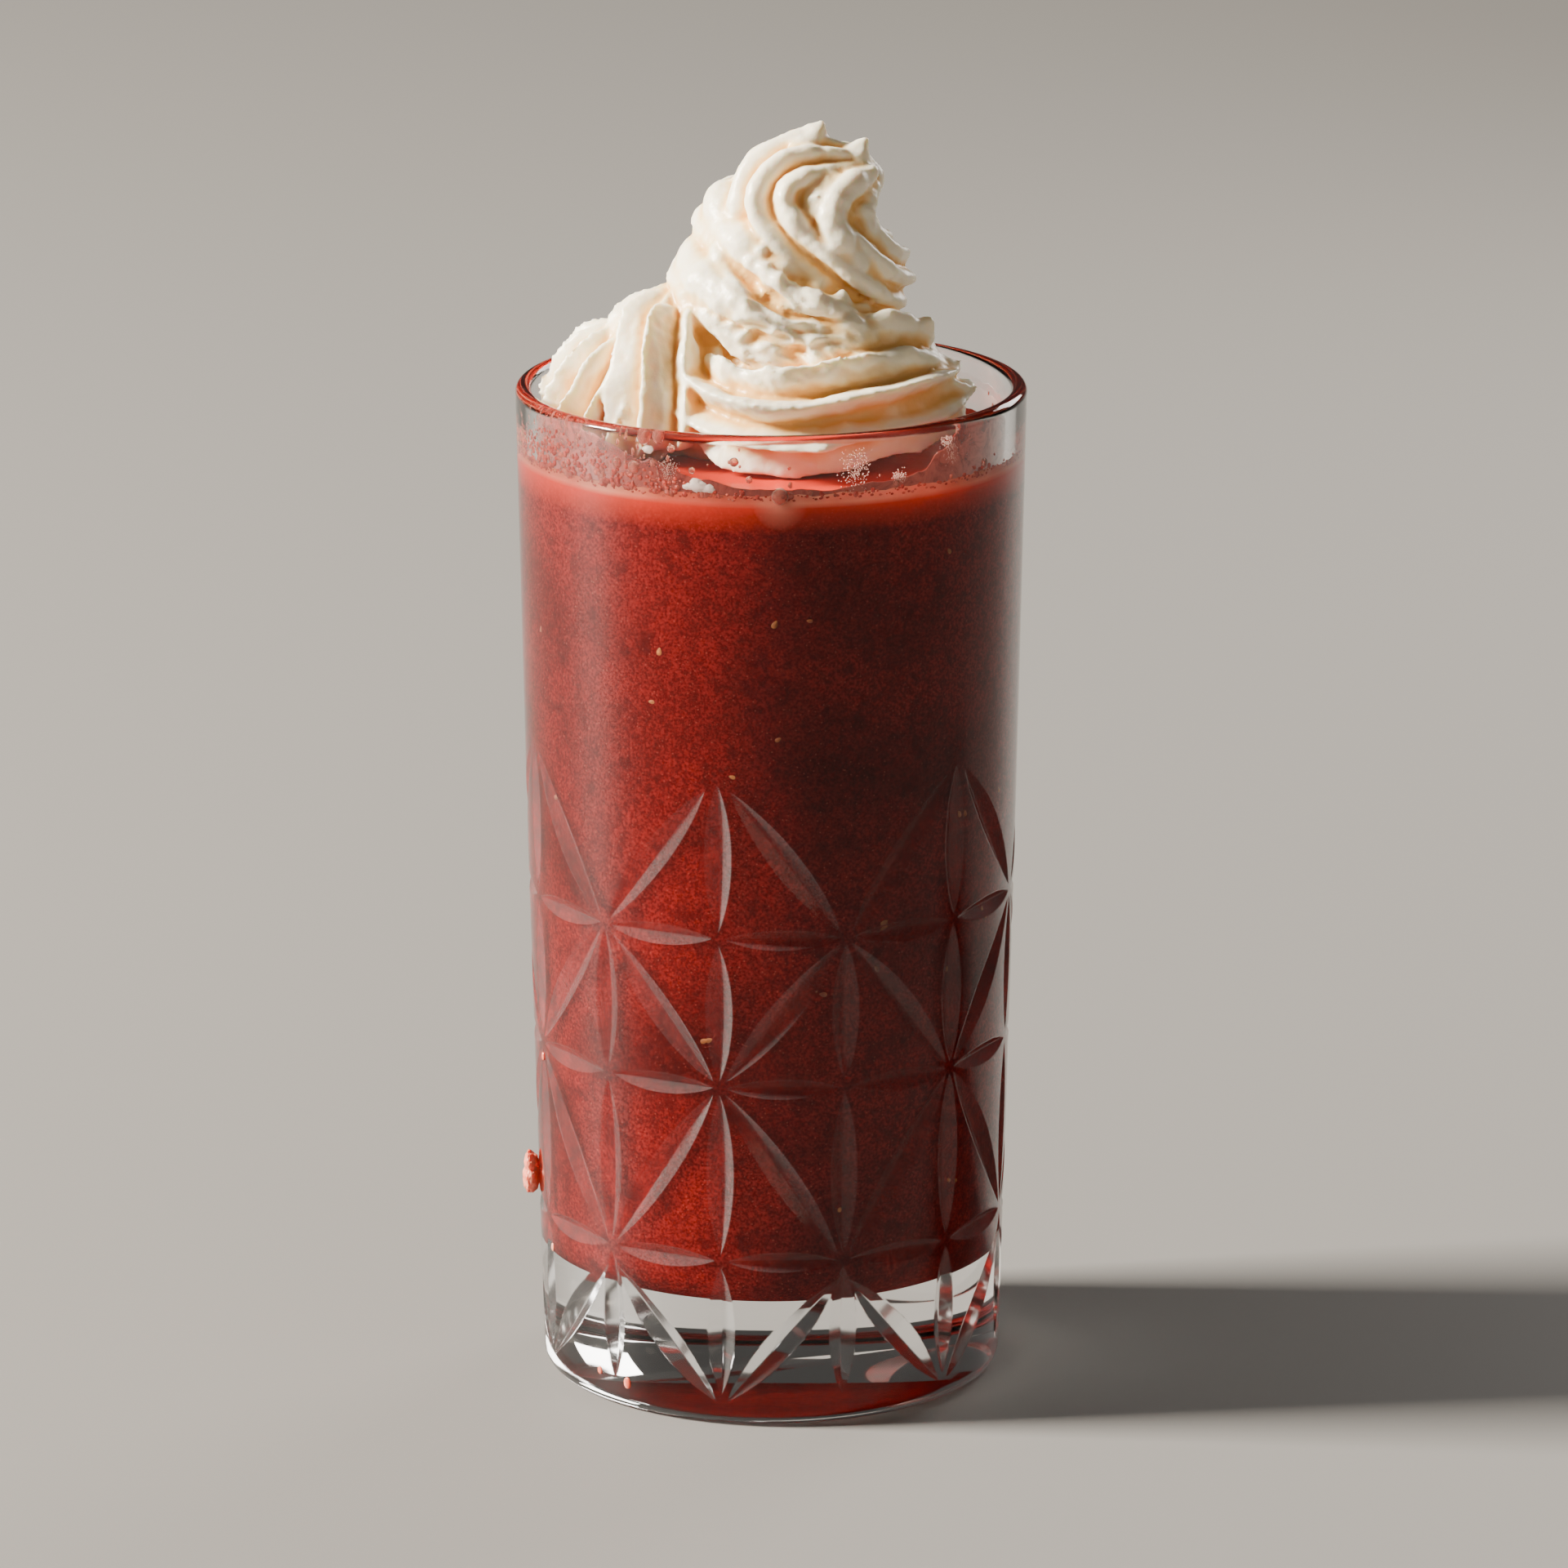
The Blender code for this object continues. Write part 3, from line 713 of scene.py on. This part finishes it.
# Seeds
# Strawberry seeds in the drink: hard brown grains, narrow at one end. They lie against the glass,
# half sunk in the drink's side.
seed_shape = bmesh.new()
seed_draw = Random(7)
strewn_seeds = 36
seed_heights, seed_lengths = (0.026, 0.138), (0.00048, 0.00068)
seed_breadth, seed_taper, seed_thickness = 0.62, 0.4, 0.00022
seed_sinks = 0.00008
seed_places = [(0.9, 0.1236), (1.7, 0.1062), (54.0, 0.0913)]
for k in range(strewn_seeds):
    seed_places.append((seed_draw.uniform(-180, 180), seed_draw.uniform(*seed_heights)))
for angle, z in seed_places:
    centre = around_axis(drink_wall(z) - seed_sinks, angle, z)
    outwards = Vector((centre.x, centre.y, 0.0)).normalized()
    lean = seed_draw.uniform(-pi / 2, pi / 2)
    lengthwise = Vector((-outwards.y * sin(lean), outwards.x * sin(lean), cos(lean)))
    across = lengthwise.cross(outwards)
    length = seed_draw.uniform(*seed_lengths)
    made = bmesh.ops.create_uvsphere(seed_shape, u_segments=12, v_segments=8, radius=1.0)["verts"]
    for corner in made:
        way = corner.co.copy()
        breadth = seed_breadth * (1 - seed_taper * way.z)
        corner.co = centre + lengthwise * (way.z * length) + across * (way.x * length * breadth)
        corner.co += outwards * (way.y * seed_thickness)
seed_finish, tree, shader = new_material("strawberry seeds")
husk = texture(tree, "ShaderNodeTexNoise", 240.0, Detail=2.0)
seed_stops = ((0.4, (0.22, 0.035, 0.010)), (0.6, (0.60, 0.20, 0.04)))
tree.links.new(ramp(tree, husk.outputs["Fac"], *seed_stops), shader.inputs["Base Color"])
shader.inputs["Roughness"].default_value = 0.35
seeds = finished("seeds", seed_shape, seed_finish)


# Whipped cream
# Sweet cream piped through a star nozzle in ropes that run together: a leafy heap at the left, a
# back and a front turn on the drink, a second turn, and a curl on top that was pulled to a tip.
MM = 0.001
look_ahead = 0.05
end_share, end_length = 0.3, 0.6
points_to_a_ridge = 14
rings_between = 16
tip_length, slant_length, tip_curve = 0.8, 2, 1.5
leaf_curve, leaf_step = 0.8, 0.1
sharp_curve, round_curve = 1.45, 0.8


def smooth_station(stations, place):
    """Centre and radius on a smooth curve through the stations, which are in millimetres."""
    last = len(stations) - 1
    first = min(int(floor(place)), last - 1)
    share = place - first
    near = [stations[min(max(k, 0), last)] for k in range(first - 1, first + 3)]
    values = []
    for a, b, c, d in zip(*near):
        bend = (2 * a - 5 * b + 4 * c - d) * share ** 2 + (3 * b - a - 3 * c + d) * share ** 3
        values.append(0.5 * (2 * b + (c - a) * share + bend))
    return Vector(values[:3]) * MM, values[3] * MM


def rope_frames(stations, rings):
    """Centre, radius, direction and two sides of every ring along a rope."""
    last = len(stations) - 1
    frames = []
    side = None
    for k in range(rings + 1):
        place = k * last / rings
        centre, radius = smooth_station(stations, place)
        ahead = smooth_station(stations, min(place + look_ahead, last))[0]
        behind = smooth_station(stations, max(place - look_ahead, 0))[0]
        along = (ahead - behind).normalized()
        if side is None:
            beside = Vector((0, 0, 1)) if abs(along.z) < 0.9 else Vector((0, 1, 0))
            side = along.cross(beside)
        side = (side - along * side.dot(along)).normalized()
        rounding = end_share + (1 - end_share) * sqrt(min(1.0, min(place, last - place) / end_length))
        frames.append((centre, radius * rounding, along, side, side.cross(along), place))
    return frames


def pipe_rope(
    shape, ridges, groove, stations, turn=0.0, twist=0.0, tip=0.0, slant=0.0, kind="round", rough=0.8
):
    """A rope with the nozzle's ridges, wrapped from a flat grid; stations are (x, y, z, radius)."""
    around = ridges * points_to_a_ridge
    rings = (len(stations) - 1) * rings_between
    frames = rope_frames(stations, rings)
    seed = stations[0][0] * 3.7
    made = bmesh.ops.create_grid(shape, x_segments=around, y_segments=rings, size=1.0)["verts"]
    for corner in made:
        j = round((corner.co.x + 1) / 2 * around) % around
        centre, radius, along, side, rise, place = frames[round((corner.co.y + 1) / 2 * rings)]
        angle = 2 * pi * j / around
        phase = ridges * (angle + turn + twist * place) / (2 * pi)
        if kind == "leafy":
            tooth = phase % 1.0
            valley = min((1 - tooth) ** leaf_curve, tooth / leaf_step)
        elif kind == "sharp":
            valley = abs(sin(phase * pi)) ** sharp_curve
        else:
            valley = 1 - abs(cos(phase * pi)) ** round_curve
        crest = 1 - valley
        knob = noise.noise(Vector((floor(phase + 0.5) * 5.3, place * 1.9, seed))) * rough
        reach = radius * (1 - groove * valley) + crest * knob * MM
        corner.co = centre + side * (reach * cos(angle)) + rise * (reach * sin(angle))
        corner.co -= along * (crest * tip * MM * max(0.0, 1 - place / tip_length) ** tip_curve)
        corner.co += along * (slant * (corner.co.z - centre.z) * max(0.0, 1 - place / slant_length))
    bmesh.ops.remove_doubles(shape, verts=made, dist=0.0000001)


cream_shape = bmesh.new()
curl = [
    (15.4, -2.5, 183.4, 2.8), (12.2, -2.5, 184.0, 4.6), (8.2, -2.5, 183.2, 7.2), (4.2, -2.8, 181.6, 9.0),
    (3.0, -3.4, 179.2, 9.9), (5.2, -4.4, 175.8, 9.7), (9.0, -5.2, 172.4, 9.0), (12.6, -4.0, 169.2, 7.9),
    (14.0, 1.0, 167.8, 7.4), (11.0, 6.5, 167.0, 7.5), (4.0, 8.5, 167.0, 7.5)]
pipe_rope(cream_shape, 11, 0.32, curl, turn=0.05, tip=1.2, slant=0.3, rough=0.5)
inner_ridge = [
    (15.4, -5.0, 184.6, 1.6), (12.8, -7.6, 183.6, 2.1), (10.0, -10.2, 181.6, 2.5),
    (9.0, -11.6, 178.6, 2.7), (10.4, -11.8, 175.2, 2.6), (13.2, -10.0, 171.6, 2.4),
    (15.0, -7.0, 168.2, 2.0)]
pipe_rope(cream_shape, 2, 0.1, inner_ridge, turn=0.8, rough=0.8)
notch_ridge = [
    (15.8, -4.0, 182.6, 1.4), (14.2, -6.4, 180.8, 1.9), (13.2, -7.8, 178.4, 2.2),
    (14.0, -7.8, 175.4, 2.3), (15.2, -5.6, 172.4, 2.1), (15.4, -3.0, 169.0, 1.7)]
pipe_rope(cream_shape, 2, 0.1, notch_ridge, turn=0.8, rough=0.8)
hook_filler = [(12.0, -4.4, 182.4, 3.6), (8.4, -6.8, 180.4, 5.2), (7.6, -7.6, 177.0, 6.0)]
pipe_rope(cream_shape, 3, 0.0, hook_filler, rough=0.0)
pulled_tip = [
    (3.6, -2.4, 186.0, 5.0), (5.6, -2.3, 188.2, 3.4), (7.0, -2.2, 190.2, 1.7), (7.8, -2.2, 191.5, 0.45)]
pipe_rope(cream_shape, 3, 0.2, pulled_tip, turn=0.1, rough=0.2)
low_tip = [(12.0, -3.2, 185.2, 3.4), (13.0, -3.2, 187.4, 2.0), (14.2, -3.2, 189.3, 0.5)]
pipe_rope(cream_shape, 3, 0.2, low_tip, turn=0.1, rough=0.2)
second_turn = [
    (3.0, 6.0, 172.5, 6.5), (-2.4, 2.0, 173.6, 7.0), (-5.0, -5.0, 168.0, 7.8), (-1.0, -10.5, 163.0, 8.0),
    (8.0, -9.5, 160.0, 7.6), (13.5, -1.0, 159.0, 7.6), (9.0, 9.0, 158.5, 8.5), (-2.0, 12.5, 159.5, 8.5),
    (-11.0, 5.0, 161.0, 8.0)]
pipe_rope(cream_shape, 7, 0.28, second_turn, turn=0.2, rough=1.4)
left_bulge = [
    (-3.0, 8.0, 177.0, 4.0), (-5.2, 3.0, 176.4, 5.8), (-5.2, -3.0, 174.8, 6.0), (-1.4, -8.8, 171.4, 5.2),
    (4.2, -10.6, 168.4, 4.4), (9.0, -10.8, 166.4, 3.8)]
pipe_rope(cream_shape, 4, 0.18, left_bulge, turn=0.1, twist=0.1, rough=1.4)
low_bulge = [
    (-8.0, 4.0, 169.2, 4.6), (-9.4, -1.5, 169.2, 5.9), (-8.4, -7.5, 167.4, 6.0),
    (-3.0, -13.0, 164.0, 5.0)]
pipe_rope(cream_shape, 4, 0.18, low_bulge, turn=0.3, twist=0.1, rough=1.4)
torn_ridge = [
    (16.5, -7.0, 162.6, 1.8), (11.5, -13.0, 165.0, 2.2), (7.5, -14.6, 166.4, 2.4),
    (2.6, -14.6, 168.2, 2.6), (-1.2, -13.5, 171.2, 2.2), (-2.0, -11.5, 174.4, 1.6)]
pipe_rope(cream_shape, 3, 0.35, torn_ridge, turn=0.4, twist=0.3, rough=1.8)
front_turn = [
    (25.6, -6.0, 154.0, 6.6), (20.0, -10.5, 152.6, 8.8), (12.0, -15.4, 151.4, 9.8),
    (1.5, -18.2, 150.4, 9.8), (-6.0, -15.0, 151.6, 8.4), (-10.0, -8.0, 154.5, 7.0)]
pipe_rope(cream_shape, 9, 0.42, front_turn, turn=0.1, tip=2.4, slant=0.5, kind="sharp", rough=1.5)
high_leaf = [
    (0.0, -14.0, 160.4, 3.6), (9.0, -15.2, 161.6, 4.2), (16.5, -12.0, 161.8, 3.8),
    (21.5, -9.0, 161.0, 3.0), (24.0, -7.5, 160.6, 1.8)]
middle_leaf = [
    (5.0, -17.6, 155.6, 3.6), (13.0, -17.0, 156.8, 4.0), (20.5, -13.0, 156.6, 3.3),
    (25.5, -9.5, 156.4, 2.2), (27.6, -8.0, 156.2, 1.2)]
low_leaf = [
    (7.0, -19.8, 151.0, 3.2), (15.5, -18.4, 152.2, 3.5), (22.5, -14.5, 152.8, 2.8),
    (27.5, -11.0, 153.0, 1.5), (30.0, -9.5, 152.8, 0.5)]
for leaf in (high_leaf, middle_leaf, low_leaf):
    pipe_rope(cream_shape, 3, 0.35, leaf, turn=0.6, twist=0.2, kind="sharp", rough=1.6)
back_turn = [
    (20.0, -1.0, 149.5, 8.0), (18.0, 7.0, 150.5, 8.4), (9.0, 13.5, 150.5, 8.6), (-4.0, 15.0, 150.5, 8.6),
    (-14.0, 10.0, 151.0, 8.6), (-19.0, 3.0, 151.0, 8.0)]
pipe_rope(cream_shape, 7, 0.28, back_turn, rough=0.7)
left_heap = [
    (-21.8, -3.0, 140.0, 13.0), (-21.8, -3.0, 147.0, 13.3), (-21.4, -3.0, 152.0, 12.8),
    (-20.5, -3.0, 157.0, 10.2), (-19.0, -3.0, 161.0, 4.5)]
pipe_rope(cream_shape, 16, 0.37, left_heap, turn=0.1, twist=0.14, kind="leafy", rough=1.0)
upper_heap = [
    (-14.8, -9.0, 144.0, 11.0), (-15.0, -9.0, 151.0, 11.4), (-15.6, -7.0, 158.0, 10.0),
    (-15.0, -4.0, 163.0, 7.8), (-13.6, -3.0, 167.6, 2.5)]
pipe_rope(cream_shape, 10, 0.33, upper_heap, turn=0.4, twist=0.12, kind="leafy", rough=1.0)
cream_cores = (((0.0, 0.0, 148.0), (20.0, 17.0, 11.0)), ((1.0, 1.0, 164.0), (9.0, 8.0, 11.0)))
for place, reach in cream_cores:
    made = bmesh.ops.create_uvsphere(cream_shape, u_segments=32, v_segments=20, radius=1.0)["verts"]
    for corner in made:
        ways = zip(place, reach, corner.co)
        corner.co = Vector(middle + half * way for middle, half, way in ways) * MM
bmesh.ops.holes_fill(cream_shape, edges=cream_shape.edges, sides=0)
bmesh.ops.recalc_face_normals(cream_shape, faces=cream_shape.faces)

cream_finish, tree, shader = new_material("whipped cream")
shader.inputs["Roughness"].default_value = 0.38
let_light_in(shader, 0.45, (1.0, 0.70, 0.35), 0.0015)
# Painted shade: the deeper a place lies in a hollow or groove, the darker and more orange-brown the cream's
# colour, as warm shade.
hollow_shade = tree.nodes.new("ShaderNodeAttribute")
hollow_shade.attribute_name = "hollow_shade"
cream_and_shade_stops = ((0.26, (0.97, 0.87, 0.68)), (0.45, (0.94, 0.73, 0.41)), (0.70, (0.85, 0.50, 0.16)))
tree.links.new(ramp(tree, hollow_shade.outputs["Fac"], *cream_and_shade_stops), shader.inputs["Base Color"])
grain = texture(tree, "ShaderNodeTexNoise", 1100.0, Detail=4.0)
bump(tree, shader, grain.outputs["Fac"], 0.3, 0.00025)
cream = finished("piped_cream", cream_shape, cream_finish)
merge = cream.modifiers.new("run together", "REMESH")
merge.mode = "VOXEL"
merge.voxel_size = 0.00042
merge.use_smooth_shade = True
soften = cream.modifiers.new("soften", "SMOOTH")
soften.factor = 0.5
soften.iterations = 2
soft_mesh = settled(cream)

torn_x, torn_z, torn_width, torn_height = 1, 163, 12, 6
torn_front, torn_fade = 4, 6
normals = [corner.normal.copy() for corner in soft_mesh.vertices]
for corner, outwards in zip(soft_mesh.vertices, normals):
    at = corner.co / MM
    torn = exp(-(((at.x - torn_x) / torn_width) ** 2) - ((at.z - torn_z) / torn_height) ** 2)
    torn *= max(0.0, min(1.0, (-at.y - torn_front) / torn_fade))
    drawn = Vector(((at.x - at.z * 0.6) * 0.13, at.y * 0.3, (at.z + at.x * 0.5) * 0.34))
    tears = noise.noise(drawn) * 1.1 - abs(noise.noise(drawn * 1.7 + Vector((5, 2, 8)))) * 1.9 + 0.4
    lumps = noise.noise(at * 0.9) * 0.11 + noise.noise(at * 0.22) * 0.38
    corner.co += outwards * ((tears * torn + lumps) * MM)

places = np.empty(len(soft_mesh.vertices) * 3)
soft_mesh.vertices.foreach_get("co", places)
places = places.reshape(-1, 3)
directions = np.array([tuple(corner.normal) for corner in soft_mesh.vertices])
pairs = np.empty(len(soft_mesh.edges) * 2, dtype=int)
soft_mesh.edges.foreach_get("vertices", pairs)
pairs = pairs.reshape(-1, 2)
neighbours = np.bincount(pairs.ravel(), minlength=len(places))


def spread(values):
    """The mean of each vertex's neighbours."""
    total = np.zeros_like(values)
    np.add.at(total, pairs[:, 0], values[pairs[:, 1]])
    np.add.at(total, pairs[:, 1], values[pairs[:, 0]])
    return (total.T / neighbours).T


# How deep each place lies below its neighbourhood, kept as the amount of painted shade in the hollows.
blur_rounds, depth_rounds = 24, 2
flat_value, full_depth = 0.4, 0.0009
blurred = places.copy()
for k in range(blur_rounds):
    blurred = spread(blurred)
depth = ((blurred - places) * directions).sum(axis=1)
for k in range(depth_rounds):
    depth = spread(depth)
layer = soft_mesh.attributes.new("hollow_shade", "FLOAT", "POINT")
layer.data.foreach_set("value", np.clip(flat_value + depth / full_depth, 0.0, 1.0))
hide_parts("cream")


# Cream on the wall
# Small blobs of cream on the inside of the glass, and clouds of tiny milky bubbles where cream slid
# past. Both are thin and cling to the glass above the drink.
blob_shape = bmesh.new()
blob_inset, blob_flatness = 0.00005, 0.5
blob_places = [
    (-17.0, 0.1440, 0.0014), (-14.6, 0.1437, 0.0010), (-19.2, 0.1438, 0.0008), (-29.4, 0.1488, 0.0008)]
for angle, z, size in blob_places:
    centre = inside_point(angle, z, blob_inset)
    press_on(blob_shape, centre, size, size * blob_flatness, stretch=0.7, rough=0.35, fineness=8)
blob_finish, tree, shader = new_material("cream with drink in it")
shader.inputs["Base Color"].default_value = (1.0, 0.80, 0.72, 1.0)
shader.inputs["Roughness"].default_value = 0.3
blobs = finished("cream_blobs", blob_shape, blob_finish)

cloud_shape = bmesh.new()
bubbles_to_a_metre = 160000
cloud_spread = 0.6
milk_sizes, milk_inset, milk_thickness = (0.00004, 0.00010), 0.00003, 0.00006
cloud_places = [
    (20.0, 0.1465, 0.0019, 1.3), (31.0, 0.1446, 0.0010, 0.8), (44.5, 0.1494, 0.0012, 1.6),
    (46.0, 0.1474, 0.0010, 1.6), (-24.5, 0.1462, 0.0014, 1.1)]
for angle, z, size, stretch in cloud_places:
    for k in range(int(size * bubbles_to_a_metre)):
        around = degrees(bubble_draw.gauss(0, size * cloud_spread) / rim_radius)
        height = z + bubble_draw.gauss(0, size * cloud_spread * stretch)
        if drink_level < height < glass_height - rim_wall:
            centre = inside_point(angle + around, height, milk_inset)
            bubble = bubble_draw.uniform(*milk_sizes)
            press_on(cloud_shape, centre, bubble, milk_thickness, stretch=1.1, rough=0.2, fineness=1)
milky, tree, shader = new_material("milky bubbles")
shader.inputs["Base Color"].default_value = (0.86, 0.44, 0.36, 1.0)
shader.inputs["Roughness"].default_value = 0.3
milky_clouds = finished("milky_clouds", cloud_shape, milky)


# Scrap of fruit
# A soft lump of strawberry pulp that has run down the outside of the glass at the left and sticks to
# it, and a few drops of its juice near it and at the foot of the glass.
scrap_low, scrap_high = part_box("fruit_scrap")
scrap_reach = 0.0008
scrap_fullness, broad_lumps, fine_lumps = 0.94, 0.12, 0.06
scrap_waist = (0.3, 0.2, 0.26)
scrap_shape = bmesh.new()
bmesh.ops.create_icosphere(scrap_shape, subdivisions=5, radius=1.0)
for corner in scrap_shape.verts:
    way = corner.co.copy()
    swell = scrap_fullness - broad_lumps * noise.noise(way * 2.1 + Vector((3, 1, 7)))
    swell -= fine_lumps * noise.noise(way * 6.0)
    swell -= hump(way.z, *scrap_waist)
    sides = zip(scrap_low, scrap_high, way)
    corner.co = Vector((low + high) / 2 + (high - low) / 2 * along * swell for low, high, along in sides)
    if way.x > 0:
        corner.co.x += way.x * scrap_reach
pulp_finish, tree, shader = new_material("strawberry pulp")
shader.inputs["Roughness"].default_value = 0.18
let_light_in(shader, 0.4, (1.0, 0.2, 0.1), 0.0015)
flesh = texture(tree, "ShaderNodeTexNoise", 600.0, Detail=4.0)
pulp_stops = ((0.35, (0.62, 0.10, 0.05)), (0.65, (0.80, 0.30, 0.20)))
tree.links.new(ramp(tree, flesh.outputs["Fac"], *pulp_stops), shader.inputs["Base Color"])
scrap = finished("pulp_scrap", scrap_shape, pulp_finish)
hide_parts("fruit_scrap")

juice_shape = bmesh.new()
juice_flatness = 0.4
juice_places = [
    (-38.4, 0.0045, 0.0007), (-47.8, 0.0053, 0.0005), (-73.0, 0.0506, 0.0005), (-70.0, 0.0210, 0.0005)]
for angle, z, size in juice_places:
    centre = around_axis(outer_radius(z), angle, z)
    press_on(juice_shape, centre, size, size * juice_flatness, stretch=1.3, rough=0.1, fineness=3)
juice = finished("juice_drops", juice_shape, pulp_finish)


# Floor and light
# A plain pale floor, a strong soft lamp high on the left, two weak ones at the front right and behind
# at the right, and a dim, pale room.
floor_reach = 4.0
floor_shape = bmesh.new()
bmesh.ops.create_grid(floor_shape, x_segments=1, y_segments=1, size=floor_reach)
floor_mesh = bpy.data.meshes.new("floor")
floor_shape.to_mesh(floor_mesh)
floor_shape.free()
floor_finish, tree, shader = new_material("pale floor")
shader.inputs["Base Color"].default_value = (0.20, 0.195, 0.188, 1.0)
shader.inputs["Roughness"].default_value = 0.6
floor_mesh.materials.append(floor_finish)
floor_piece = bpy.data.objects.new("floor", floor_mesh)
bpy.context.scene.collection.objects.link(floor_piece)


def softbox(name, place, target, size, power, colour):
    """A square soft lamp that faces a target."""
    lamp_data = bpy.data.lights.new(name, "AREA")
    lamp_data.shape = "SQUARE"
    lamp_data.size = size
    lamp_data.energy = power
    lamp_data.color = colour
    lamp = bpy.data.objects.new(name, lamp_data)
    lamp.location = place
    lamp.rotation_euler = (Vector(target) - Vector(place)).to_track_quat("-Z", "Y").to_euler()
    bpy.context.scene.collection.objects.link(lamp)


softbox("key", (-2.45, -0.10, 1.42), (0.0, 0.0, 0.11), 0.60, 540.0, (1.0, 0.92, 0.81))
softbox("fill", (0.9, -0.8, 0.5), (0.0, 0.0, 0.10), 0.7, 2.2, (1.0, 0.84, 0.68))
softbox("rim", (0.55, 0.75, 0.45), (0.0, 0.0, 0.12), 0.35, 5.0, (1.0, 0.95, 0.90))
world = bpy.data.worlds.new("room")
world.use_nodes = True
world.node_tree.nodes["Background"].inputs["Color"].default_value = (0.84, 0.80, 0.75, 1.0)
world.node_tree.nodes["Background"].inputs["Strength"].default_value = 0.06
bpy.context.scene.world = world
